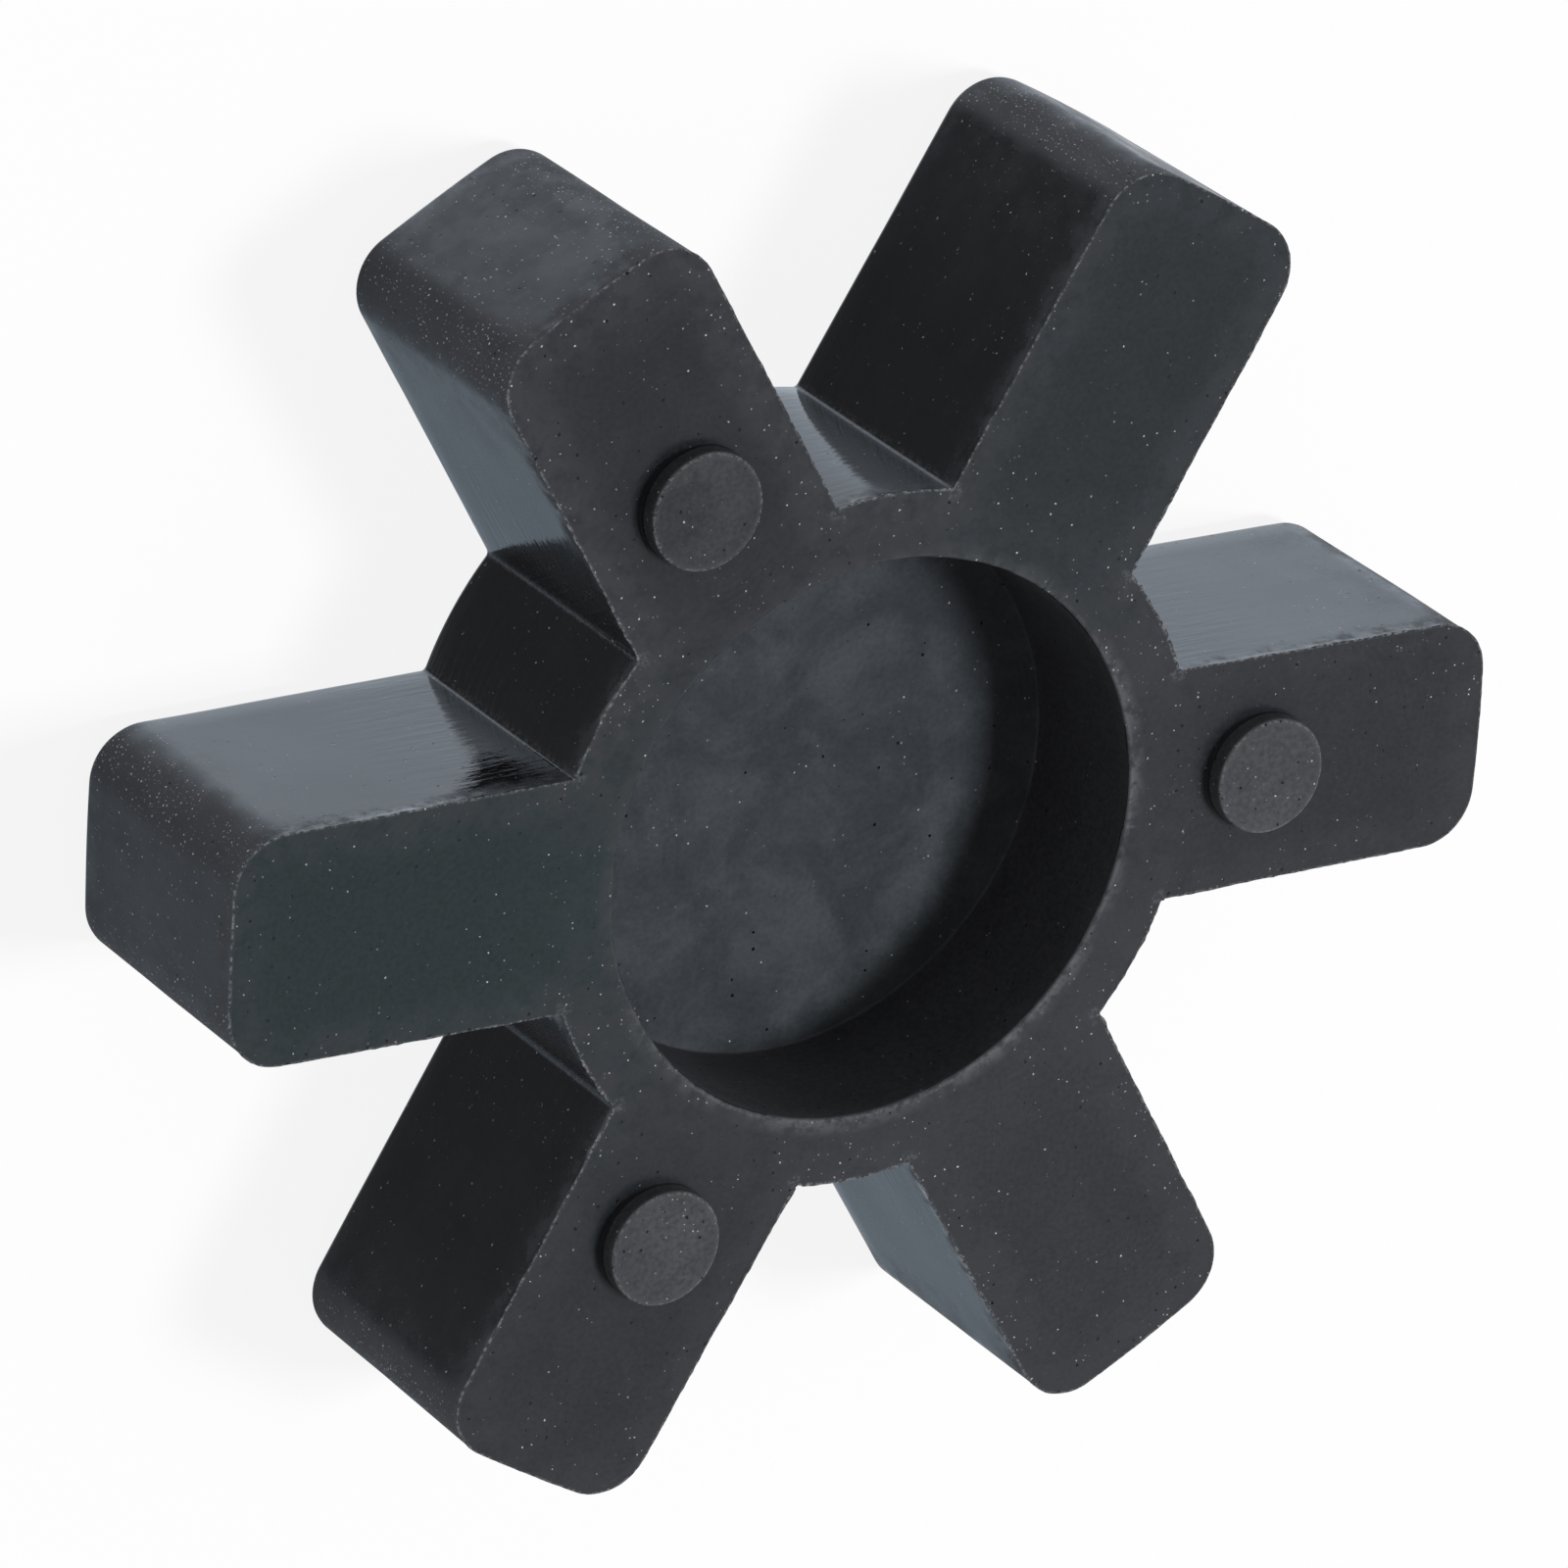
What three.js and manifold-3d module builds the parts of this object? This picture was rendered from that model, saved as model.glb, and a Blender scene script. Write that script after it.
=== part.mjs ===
// Spider of a six-leg jaw coupling, moulded from rubber as one piece.
//
// Six legs stand out of a round hub. Each one fills the space between two jaws of the
// coupling and carries its load in compression. The hub has a blind round pocket in its
// front. Low round nubs, on every second leg in front and on the others behind, keep the
// coupling's two halves off the body.
//
// Millimetres. +Z runs along the coupling's axis and out of the pocket, +X along a leg with
// a front nub. The origin is on the axis, in the plane that the rear nubs rest on.

import * as THREE from 'three';
import { mergeVertices } from 'three/addons/utils/BufferGeometryUtils.js';
import Module from 'manifold-3d';

// Body
const OUTER_RADIUS = 26.8; // axis to the middle of a leg's end
const BODY_THICKNESS = 11.45; // rear face to front face, without the nubs

// Legs
const LEG_COUNT = 6;
const LEG_ROOT_WIDTH = 9.35; // across the flanks, at the hub
const LEG_TIP_WIDTH = 9.15; // across the flanks, at the outer radius
const END_CROWN_RADIUS = 75; // the slight bow of a leg's end
const CORNER_RADIUS = 2.2; // between a leg's end and its flanks
const ROOT_FILLET = 0.5; // between a flank and the hub

// Hub and its pocket
const HUB_RADIUS = 13.75;
const HUB_WALL = 2.7; // from the pocket to the outside of the hub
const WEB_THICKNESS = 5.05; // from the pocket's floor to the rear face
const LIP_RADIUS = 0.25; // round edge at the pocket's mouth
const FLOOR_FILLET = 0.3; // between the pocket's floor and its wall

// Nubs
const NUB_RADIUS = 2.3;
const NUB_HEIGHT = 0.8;
const NUB_EDGE_RADIUS = 0.15;
const NUB_SETBACK = 3.1; // from the outside of the hub to a nub's axis

// Colour and finish
const RUBBER_COLOUR = 0x33373a;
const RUBBER_ROUGHNESS = 0.6;

// How finely round stretches are divided, and how far tools run past what they cut or join
const ROOT_STEPS = 4;
const CORNER_STEPS = 8;
const CROWN_STEPS = 4;
const HUB_STEPS = 4;
const EDGE_STEPS = 3;
const POCKET_SIDES = 96;
const NUB_SIDES = 40;
const OVERRUN = 0.5;
const SAME_POINT = 1e-6;

const LEG_PITCH = (2 * Math.PI) / LEG_COUNT;
const REAR_Z = NUB_HEIGHT;
const FRONT_Z = REAR_Z + BODY_THICKNESS;
const POCKET_RADIUS = HUB_RADIUS - HUB_WALL;
const POCKET_FLOOR_Z = REAR_Z + WEB_THICKNESS;
const NUB_CIRCLE_RADIUS = HUB_RADIUS + NUB_SETBACK;

const wasm = await Module();
wasm.setup();

// Closed solid of a three.js geometry, without the flat triangles that merging leaves
function toSolid(geometry) {
  geometry.deleteAttribute('normal');
  geometry.deleteAttribute('uv');
  const merged = mergeVertices(geometry);
  const corners = merged.index.array;
  const kept = [];
  for (let i = 0; i < corners.length; i += 3) {
    const [a, b, c] = corners.slice(i, i + 3);
    if (a !== b && b !== c && c !== a) {
      kept.push(a, b, c);
    }
  }
  const mesh = new wasm.Mesh({
    numProp: 3,
    vertProperties: new Float32Array(merged.attributes.position.array),
    triVerts: new Uint32Array(kept),
  });
  return new wasm.Manifold(mesh);
}

function toGeometry(solid) {
  const mesh = solid.getMesh();
  const geometry = new THREE.BufferGeometry();
  geometry.setAttribute('position', new THREE.BufferAttribute(mesh.vertProperties, 3));
  geometry.setIndex(new THREE.BufferAttribute(mesh.triVerts, 1));
  geometry.computeVertexNormals();
  return geometry;
}

function arcPoints({ centre, radius, from, to, steps }) {
  const clockwise = to < from;
  return new THREE.ArcCurve(centre.x, centre.y, radius, from, to, clockwise).getPoints(steps);
}

// The same arc on the other flank, run through in the opposite order
function mirrored({ centre, radius, from, to, steps }) {
  return { centre: new THREE.Vector2(centre.x, -centre.y), radius, from: -to, to: -from, steps };
}

// Arcs of the leg along +X and of the hub up to the next leg, counter-clockwise. The straight
// flanks are the gaps between one arc's end and the next one's start.
function legArcs() {
  const taper = (LEG_ROOT_WIDTH - LEG_TIP_WIDTH) / 2;
  const slope = Math.atan2(taper, OUTER_RADIUS - HUB_RADIUS);
  const outward = new THREE.Vector2(Math.sin(slope), Math.cos(slope));
  const along = new THREE.Vector2(Math.cos(slope), -Math.sin(slope));
  const flank = outward.dot(new THREE.Vector2(HUB_RADIUS, LEG_ROOT_WIDTH / 2));

  // The point at one height above the flank and at one distance from another point
  function besideFlank(height, distance, from) {
    const across = flank + height;
    const rest = across - outward.dot(from);
    const run = along.dot(from) + Math.sqrt(distance ** 2 - rest ** 2);
    return outward.clone().multiplyScalar(across).addScaledVector(along, run);
  }

  const axis = new THREE.Vector2(0, 0);
  const crownCentre = new THREE.Vector2(OUTER_RADIUS - END_CROWN_RADIUS, 0);
  const cornerCentre = besideFlank(-CORNER_RADIUS, END_CROWN_RADIUS - CORNER_RADIUS, crownCentre);
  const rootCentre = besideFlank(ROOT_FILLET, HUB_RADIUS + ROOT_FILLET, axis);
  const crownAngle = cornerCentre.clone().sub(crownCentre).angle();
  const rootAngle = rootCentre.angle();

  const corner = {
    centre: cornerCentre,
    radius: CORNER_RADIUS,
    from: crownAngle,
    to: outward.angle(),
    steps: CORNER_STEPS,
  };
  const root = {
    centre: rootCentre,
    radius: ROOT_FILLET,
    from: outward.angle() - Math.PI,
    to: rootAngle - Math.PI,
    steps: ROOT_STEPS,
  };
  const crown = {
    centre: crownCentre,
    radius: END_CROWN_RADIUS,
    from: -crownAngle,
    to: crownAngle,
    steps: CROWN_STEPS,
  };
  const hub = {
    centre: axis,
    radius: HUB_RADIUS,
    from: rootAngle,
    to: LEG_PITCH - rootAngle,
    steps: HUB_STEPS,
  };
  return [mirrored(root), mirrored(corner), crown, corner, root, hub];
}

// Outline of the whole star, with one point where two arcs meet
function starShape() {
  const leg = legArcs().flatMap(arcPoints);
  const axis = new THREE.Vector2(0, 0);
  const points = [];
  for (let i = 0; i < LEG_COUNT; i += 1) {
    points.push(...leg.map((point) => point.clone().rotateAround(axis, i * LEG_PITCH)));
  }
  const apart = points.filter((point, i) => {
    const next = points[(i + 1) % points.length];
    return point.distanceTo(next) > SAME_POINT;
  });
  return new THREE.Shape(apart);
}

function starBody() {
  const geometry = new THREE.ExtrudeGeometry(starShape(), {
    depth: BODY_THICKNESS,
    bevelEnabled: false,
  });
  geometry.translate(0, 0, REAR_Z);
  return toSolid(geometry);
}

// Turns a profile of radius and height about +Z
function turned(profile, sides) {
  const geometry = new THREE.LatheGeometry(profile, sides);
  geometry.rotateX(Math.PI / 2);
  return toSolid(geometry);
}

function pocketTool() {
  const filletArc = {
    centre: new THREE.Vector2(POCKET_RADIUS - FLOOR_FILLET, POCKET_FLOOR_Z + FLOOR_FILLET),
    radius: FLOOR_FILLET,
    from: -Math.PI / 2,
    to: 0,
    steps: EDGE_STEPS,
  };
  const lipArc = {
    centre: new THREE.Vector2(POCKET_RADIUS + LIP_RADIUS, FRONT_Z - LIP_RADIUS),
    radius: LIP_RADIUS,
    from: Math.PI,
    to: Math.PI / 2,
    steps: EDGE_STEPS,
  };
  const profile = [
    new THREE.Vector2(0, POCKET_FLOOR_Z),
    ...arcPoints(filletArc),
    ...arcPoints(lipArc),
    new THREE.Vector2(POCKET_RADIUS + LIP_RADIUS, FRONT_Z + OVERRUN),
    new THREE.Vector2(0, FRONT_Z + OVERRUN),
  ];
  return turned(profile, POCKET_SIDES);
}

// A nub standing on the plane z = 0, with its foot sunk so that it joins the body
function nub() {
  const edgeArc = {
    centre: new THREE.Vector2(NUB_RADIUS - NUB_EDGE_RADIUS, NUB_HEIGHT - NUB_EDGE_RADIUS),
    radius: NUB_EDGE_RADIUS,
    from: 0,
    to: Math.PI / 2,
    steps: EDGE_STEPS,
  };
  const profile = [
    new THREE.Vector2(0, -OVERRUN),
    new THREE.Vector2(NUB_RADIUS, -OVERRUN),
    ...arcPoints(edgeArc),
    new THREE.Vector2(0, NUB_HEIGHT),
  ];
  return turned(profile, NUB_SIDES);
}

// Nubs in front of the even legs, and behind the odd ones
function nubs() {
  const standing = nub();
  const hanging = standing.rotate([180, 0, 0]);
  return Array.from({ length: LEG_COUNT }, (_, leg) => {
    const angle = leg * LEG_PITCH;
    const x = NUB_CIRCLE_RADIUS * Math.cos(angle);
    const y = NUB_CIRCLE_RADIUS * Math.sin(angle);
    return leg % 2 === 0 ? standing.translate([x, y, FRONT_Z]) : hanging.translate([x, y, REAR_Z]);
  });
}

function spider() {
  const hollowed = starBody().subtract(pocketTool());
  const solid = nubs().reduce((body, added) => body.add(added), hollowed);
  const material = new THREE.MeshStandardMaterial({
    color: RUBBER_COLOUR,
    roughness: RUBBER_ROUGHNESS,
    metalness: 0,
  });
  const mesh = new THREE.Mesh(toGeometry(solid), material);
  mesh.name = 'spider';
  return mesh;
}

const group = new THREE.Group();
group.add(spider());

export default group;
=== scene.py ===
import math

import bmesh
import bpy
import numpy as np
from mathutils import Matrix, Vector, noise
from mathutils.kdtree import KDTree


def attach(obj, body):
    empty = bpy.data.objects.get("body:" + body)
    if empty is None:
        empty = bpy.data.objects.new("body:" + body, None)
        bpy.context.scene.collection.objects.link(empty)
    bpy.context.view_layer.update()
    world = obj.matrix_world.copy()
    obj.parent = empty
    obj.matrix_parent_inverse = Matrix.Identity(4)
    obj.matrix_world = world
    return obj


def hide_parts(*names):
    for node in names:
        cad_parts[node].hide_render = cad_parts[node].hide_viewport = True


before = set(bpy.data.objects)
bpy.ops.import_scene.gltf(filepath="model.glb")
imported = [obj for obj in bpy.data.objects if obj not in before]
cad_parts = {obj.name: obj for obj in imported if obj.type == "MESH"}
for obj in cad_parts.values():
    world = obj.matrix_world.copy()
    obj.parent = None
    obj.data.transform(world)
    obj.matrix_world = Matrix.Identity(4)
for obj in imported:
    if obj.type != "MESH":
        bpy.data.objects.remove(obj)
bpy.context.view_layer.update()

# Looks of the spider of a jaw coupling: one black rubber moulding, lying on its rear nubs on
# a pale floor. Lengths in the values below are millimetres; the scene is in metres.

MM = 0.001

# The part's own sizes
OUTER_RADIUS = 26.8
BODY_THICKNESS = 11.45
LEG_COUNT = 6
LEG_ROOT_WIDTH = 9.35
LEG_TIP_WIDTH = 9.15
END_CROWN_RADIUS = 75
CORNER_RADIUS = 2.2
ROOT_FILLET = 0.15
HUB_RADIUS = 13.75
POCKET_RADIUS = 11.05
WEB_THICKNESS = 5.05
LIP_RADIUS = 0.25
FLOOR_FILLET = 0.12
NUB_RADIUS = 2.3
NUB_HEIGHT = 0.8
NUB_EDGE_RADIUS = 0.15
NUB_CIRCLE_RADIUS = 16.85

LEG_PITCH = 2 * math.pi / LEG_COUNT
REAR_Z = NUB_HEIGHT
FRONT_Z = REAR_Z + BODY_THICKNESS
POCKET_FLOOR_Z = REAR_Z + WEB_THICKNESS

# How finely the outline of one leg and its stretch of hub is divided
ROOT_STEPS = 6
FLANK_STEPS = 50
CORNER_STEPS = 18
CROWN_STEPS = 24
HUB_STEPS = 24
COLUMNS_PER_LEG = 2 * (ROOT_STEPS + FLANK_STEPS + CORNER_STEPS) + CROWN_STEPS + HUB_STEPS
COLUMNS = LEG_COUNT * COLUMNS_PER_LEG
COARSER = 3
POCKET_COLUMNS = COLUMNS // COARSER
NUB_COLUMNS = 96
SAME_POINT = 0.001

# Where the rings of points lie that the body is made of
FACE_BORDER = 1.6  # inside it the front and rear face are divided along rays from the axis
FLOOR_RING_RADII = (1.2, 2.6, 4.2, 5.8, 7.4, 8.8, 10)
WALL_RING_SHARES = (0.12, 0.3, 0.5, 0.7, 0.85)
LIP_CLEARANCE = 0.75
FACE_RINGS = 8
FACE_EDGE_INSETS = (1.5, 1.1, 0.8, 0.55, 0.35, 0.2)
FLANK_RING_SHARES = (0.02, 0.05, 0.1, 0.17, 0.26, 0.36, 0.47, 0.58, 0.69, 0.8, 0.9)
REAR_EDGE_INSET = 0.7
REAR_RINGS = 6
REAR_RING_RADII = (10, 8, 6, 4, 2)
EDGE_STEPS = 4
LIP_STEPS = 5
NUB_END_RADII = (0.5, 1.0, 1.4, 1.75, 2.0)
NUB_WALL_HEIGHTS = (0.5, 0.35, 0.2, 0.12)
NUB_FOOT_DEPTH = 0.4
NUB_FOOT_FLARE = 0.04
NUB_FLARE = ((0.25, 0.06), (0.6, 0.02), (1, -0.06), (1, -NUB_FOOT_DEPTH))  # share of the flare, height

# Wear and moulding marks that stand out from the plain shape
BODY_INSET = 0.05  # leaves the flash room inside the part's outline
FLASH_REACH = 0.13
FLASH_REACH_AT_ENDS = 0.04
FLASH_THICKNESS = 0.05
FLASH_LIFT = 0.04
FLASH_START = 0.1
FLASH_CREST = 0.04
FLASH_ROUNDING = 0.012
FLASH_UNDERCUT = 0.01
FLASH_FOOT = 0.05
FLASH_COLUMNS = (18, 4)  # columns in a coarse and in a fine tooth of the flash
LIFT_COLUMNS = 9
FLASH_WEIGHTS = (0.6, 0.6, 0.5)  # coarse teeth, fine teeth, grit
FLASH_GAPS = 0.65
FLASH_AWAY_FROM_ROOTS = 0.6
ROOT_ZONE = 1.5
LEG_END_LENGTH = 3.2
LIP_LEAST = 0.6
LIP_DENTS = (40, 130)
FLASH_LINE = 0.08  # half the width of the light line along it
NUB_RIM_LINE = 0.12
REAR_EDGE_RADIUS = 0.35
FACE_FALL = 0.06  # how far the front face falls away near its edge
FACE_FALL_WIDTH = 1.5
NUB_SWELL = ((0.02, 9), (0.012, 30))  # how far, in how many places round the nub
NUB_SWELL_FROM = 1.9
NUB_DIP = 0.02
NUB_DIPS = 12
NUB_DIP_FROM = (1.5, 0.6)  # radius and height

# Waves in the rubber's surfaces: their size, their depth and where in the noise they lie
FACE_WAVES = (6.0, 0.03)
FLOOR_WAVES = (4.0, 0.03)
FLANK_WAVES = (5.0, 0.03, 11.0)
FLANK_RIPPLES = (1.6, 0.006, 23.0)
FLANK_PULL = 0.02

# How far a point may lie from a surface and still count to it
FACE_BAND = 0.4
FLOOR_BAND = 0.2
HUB_BAND = 0.4
ON_WALL = 0.02

# How far from the faces the waves of the flanks stop and the nubs begin
BELOW_FACE = 0.3
ABOVE_REAR = 0.1
ABOVE_FACE = 0.1
BELOW_REAR = 0.05

# The least z of a level surface's normal, and the angle of a sharp edge in degrees
FLAT_ENOUGH = 0.6
FLOOR_SLOPE = 0.5
SHARP_ANGLE = 38

# How far dust, wear, marks and the painted highlights and sheen reach
FACE_DEPTH = 0.2
FACE_EDGE = 0.02
SIDE_DEPTH = 0.5
EDGE_DEPTH = 0.25
EDGE_WEAR_AND_SHEEN_ON_FACES = 2.2
EDGE_WEAR_ON_SIDES = 1.6
LIP_WEAR = 1.0
LIP_HIGHLIGHT_WIDTH = 0.2
LIP_OFFSET = 0.1
NUB_RIM_OFFSET = 0.05
HUB_RING = (12.6, 3.2)  # radius and width
HUB_RING_MEAN = 0.65
HUB_RING_SWING = 0.35
ROOT_STREAKS = 8.5
SLOPE_FOOT = 0.62  # share of a stretch of the outline
WALL_SKIN_SHIFT = 90  # keeps the walls' flat coordinates clear of the faces'

# For each leg, counted from +X: dust, green tint, worn edges with painted sheen on the front faces, and how
# strong the painted highlight on the pocket's lip is
LEG_DUST = (0.75, 0.05, 0.1, 0.0, 0.55, 1.25)
LEG_TINT = (0.08, 0.42, 0.05, 1.0, 0.12, 0.0)
LEG_EDGE_DUST_AND_SHEEN = (0.4, 0.75, 1.75, 0.5, 0.45, 1.2)
LIP_PAINTED_HIGHLIGHT = (1.0, 0.35, 0.1, 0.15, 0.8, 1.0)

# Camera, as found from the photograph
CAMERA_AZIMUTH = 141.266
CAMERA_ELEVATION = 51.170
CAMERA_ROLL = -125.462
CAMERA_DISTANCE = 431.915
CAMERA_AIM = (-0.475, 0.094, 6.525)
CAMERA_LENS = 267.923
SENSOR_WIDTH = 36
CLIP_START = 0.01  # metres
CLIP_END = 10

random = np.random.default_rng(7)


def unit(angle):
    """Unit vectors in the plane at one or several angles."""
    return np.stack([np.cos(angle), np.sin(angle)], axis=-1)


def angle_of(vector):
    return math.atan2(vector[1], vector[0])


# Outline of the star, as in the part's source


def arc(centre, radius, start, end, steps, side=1):
    """Points of an arc without its last one, and the normals out of the material there."""
    angles = start + (end - start) * np.arange(steps) / steps
    rays = unit(angles)
    return np.array(centre) + radius * rays, side * rays


def straight(start, end, normal, steps):
    shares = (np.arange(steps) / steps)[:, None]
    return np.array(start) * (1 - shares) + np.array(end) * shares, np.tile(normal, (steps, 1))


def leg_outline():
    """Outline of the leg along +X and of the hub up to the next leg, counter-clockwise."""
    slope = math.atan2((LEG_ROOT_WIDTH - LEG_TIP_WIDTH) / 2, OUTER_RADIUS - HUB_RADIUS)
    outward = np.array([math.sin(slope), math.cos(slope)])
    along = np.array([math.cos(slope), -math.sin(slope)])
    flank = outward @ np.array([HUB_RADIUS, LEG_ROOT_WIDTH / 2])

    def beside_flank(height, distance, origin):
        across = flank + height
        rest = across - outward @ origin
        run = along @ origin + math.sqrt(distance**2 - rest**2)
        return outward * across + along * run

    crown_centre = np.array([OUTER_RADIUS - END_CROWN_RADIUS, 0.0])
    corner_centre = beside_flank(-CORNER_RADIUS, END_CROWN_RADIUS - CORNER_RADIUS, crown_centre)
    root_centre = beside_flank(ROOT_FILLET, HUB_RADIUS + ROOT_FILLET, np.zeros(2))
    crown_angle = angle_of(corner_centre - crown_centre)
    flank_angle = angle_of(outward)
    root_angle = angle_of(root_centre)
    mirror = np.array([1, -1])

    flank_root = root_centre + ROOT_FILLET * unit(flank_angle - math.pi)
    flank_tip = corner_centre + CORNER_RADIUS * unit(flank_angle)
    stretches = [
        arc(root_centre * mirror, ROOT_FILLET, math.pi - root_angle, math.pi - flank_angle, ROOT_STEPS, -1),
        straight(flank_root * mirror, flank_tip * mirror, outward * mirror, FLANK_STEPS),
        arc(corner_centre * mirror, CORNER_RADIUS, -flank_angle, -crown_angle, CORNER_STEPS),
        arc(crown_centre, END_CROWN_RADIUS, -crown_angle, crown_angle, CROWN_STEPS),
        arc(corner_centre, CORNER_RADIUS, crown_angle, flank_angle, CORNER_STEPS),
        straight(flank_tip, flank_root, outward, FLANK_STEPS),
        arc(root_centre, ROOT_FILLET, flank_angle - math.pi, root_angle - math.pi, ROOT_STEPS, -1),
        arc(np.zeros(2), HUB_RADIUS, root_angle, LEG_PITCH - root_angle, HUB_STEPS),
    ]
    return [np.concatenate(parts) for parts in zip(*stretches)]


def star_outline():
    points, normals = leg_outline()
    turned_points = []
    turned_normals = []
    for leg in range(LEG_COUNT):
        axis = unit(leg * LEG_PITCH)
        turn = np.array([axis, [-axis[1], axis[0]]])
        turned_points.append(points @ turn)
        turned_normals.append(normals @ turn)
    return np.concatenate(turned_points), np.concatenate(turned_normals)


def unit_vectors(vectors):
    return vectors / np.linalg.norm(vectors, axis=1)[:, None]


OUTLINE, OUTLINE_NORMALS = star_outline()
OUTLINE_RADII = np.linalg.norm(OUTLINE, axis=1)
FACE_RAYS = unit_vectors(OUTLINE - OUTLINE_NORMALS * (FACE_BORDER + BODY_INSET))


# Rings of points and the faces between them


def ring(inset, height):
    """The outline drawn in by inset, at a height. Both are one number or one a column."""
    inset = np.broadcast_to(inset, COLUMNS)[:, None] + BODY_INSET
    flat = OUTLINE - OUTLINE_NORMALS * inset
    return np.column_stack([flat, np.broadcast_to(height, COLUMNS)])


def circle(radius, height, columns):
    """A round ring whose points lie on the rays through the drawn-in outline's points."""
    rays = FACE_RAYS[:: COLUMNS // columns]
    flat = rays * np.broadcast_to(radius, columns)[:, None]
    return np.column_stack([flat, np.broadcast_to(height, columns)])


def between(first, last, count):
    """Rings that lead evenly from one ring to another, without these two."""
    shares = np.arange(1, count + 1) / (count + 1)
    return [first * (1 - share) + last * share for share in shares]


def bridge(first, first_count, last, last_count):
    """Faces between two rings, given by their first index and their number of points."""
    faces = []
    count = first_count if first_count == last_count else max(first_count, last_count) // COARSER
    for i in range(count):
        if first_count == last_count:
            after = (i + 1) % first_count
            faces.append((first + i, last + i, last + after, first + after))
        elif last_count > first_count:
            a, b = first + i, first + (i + 1) % first_count
            fine = [last + (COARSER * i + step) % last_count for step in range(COARSER + 1)]
            faces += [(a, fine[0], fine[1]), (a, fine[1], fine[2], b), (b, fine[2], fine[3])]
        else:
            a, b = last + i, last + (i + 1) % last_count
            fine = [first + (COARSER * i + step) % first_count for step in range(COARSER + 1)]
            faces += [(fine[0], a, fine[1]), (fine[1], a, b, fine[2]), (fine[2], b, fine[3])]
    return faces


def closed_mesh(rings, start, end):
    """Vertices and faces of a closed body: rings in order, closed by a fan at either end."""
    points = [np.array([start])] + rings + [np.array([end])]
    firsts = np.cumsum([0] + [len(row) for row in points])
    faces = []
    count = len(rings[0])
    faces += [(0, 1 + i, 1 + (i + 1) % count) for i in range(count)]
    for k in range(1, len(rings)):
        faces += bridge(firsts[k], len(points[k]), firsts[k + 1], len(points[k + 1]))
    last, count, tip = firsts[len(rings)], len(rings[-1]), firsts[len(rings) + 1]
    faces += [(last + i, tip, last + (i + 1) % count) for i in range(count)]
    return np.concatenate(points), faces


def mesh_object(name, points, faces):
    mesh = bpy.data.meshes.new(name)
    mesh.from_pydata((points * MM).tolist(), [], [tuple(int(i) for i in face) for face in faces])
    mesh.update()
    thing = bpy.data.objects.new(name, mesh)
    bpy.context.scene.collection.objects.link(thing)
    return thing


# Irregularities


def uneven(count, cells):
    """Smooth random values from 0 to 1 along a closed line, with a number of cells."""
    values = random.random(cells)
    place = np.arange(count) * cells / count
    share = place % 1
    share = share * share * (3 - 2 * share)
    first = place.astype(int) % cells
    return values[first] * (1 - share) + values[(first + 1) % cells] * share


def near(value, centre, width):
    """1 at the centre and 0 from a width away."""
    share = np.clip(1 - np.abs(value - centre) / width, 0, 1)
    return share * share * (3 - 2 * share)


def waviness(points, size, depth, shift=0.0):
    """A smooth random height for each point, with waves of about one size."""
    heights = [noise.noise(Vector(point) / size + Vector((shift, shift, shift))) for point in points]
    return depth * np.array(heights)


def flash():
    """How far the ragged rest of the flash stands out from the front edge, for each column."""
    coarse, fine = (uneven(COLUMNS, COLUMNS // width) for width in FLASH_COLUMNS)
    grit = random.random(COLUMNS)
    teeth = sum(weight * part for weight, part in zip(FLASH_WEIGHTS, (coarse, fine, grit)))
    ragged = np.clip(teeth - FLASH_GAPS, 0, 1)
    at_root = near(OUTLINE_RADII, HUB_RADIUS + 2 * ROOT_FILLET, ROOT_ZONE)
    reach = FLASH_REACH * FLASH_AWAY_FROM_ROOTS * (1 + at_root)
    at_end = OUTLINE_RADII > OUTER_RADIUS - LEG_END_LENGTH
    return np.where(at_end, FLASH_REACH_AT_ENDS, reach) * ragged


# The body


def quarter_turn(steps):
    """Angles from zero to a right angle, both with it."""
    return [math.pi / 2 * step / steps for step in range(steps + 1)]


def pocket_rings():
    """From the middle of the pocket's floor up its wall and over the dented lip."""
    rings = [circle(radius, POCKET_FLOOR_Z, POCKET_COLUMNS) for radius in FLOOR_RING_RADII]
    bend = POCKET_RADIUS - FLOOR_FILLET
    for angle in quarter_turn(EDGE_STEPS):
        radius = bend + FLOOR_FILLET * math.sin(angle)
        height = POCKET_FLOOR_Z + FLOOR_FILLET * (1 - math.cos(angle))
        rings.append(circle(radius, height, POCKET_COLUMNS))
    dents = [uneven(POCKET_COLUMNS, count) for count in LIP_DENTS]
    lip = LIP_RADIUS * (LIP_LEAST + dents[0] * dents[1])
    foot = POCKET_FLOOR_Z + FLOOR_FILLET
    for share in WALL_RING_SHARES:
        height = foot + share * (FRONT_Z - LIP_RADIUS - foot)
        rings.append(circle(POCKET_RADIUS, height, POCKET_COLUMNS))
    for angle in quarter_turn(LIP_STEPS):
        radius = POCKET_RADIUS + lip * (1 - math.cos(angle))
        rings.append(circle(radius, FRONT_Z - lip * (1 - math.sin(angle)), POCKET_COLUMNS))
    return rings


def front_rings():
    """From the pocket's lip to the front edge, with the face falling a little near the edge."""
    first = circle(POCKET_RADIUS + LIP_CLEARANCE, FRONT_Z, COLUMNS)
    first_inset = ring(FACE_BORDER, FRONT_Z)
    rings = [first] + between(first, first_inset, FACE_RINGS) + [first_inset]
    for inset in FACE_EDGE_INSETS:
        fall = FACE_FALL * (1 - inset / FACE_FALL_WIDTH) ** 2
        rings.append(ring(inset, FRONT_Z - fall))
    return rings


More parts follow.
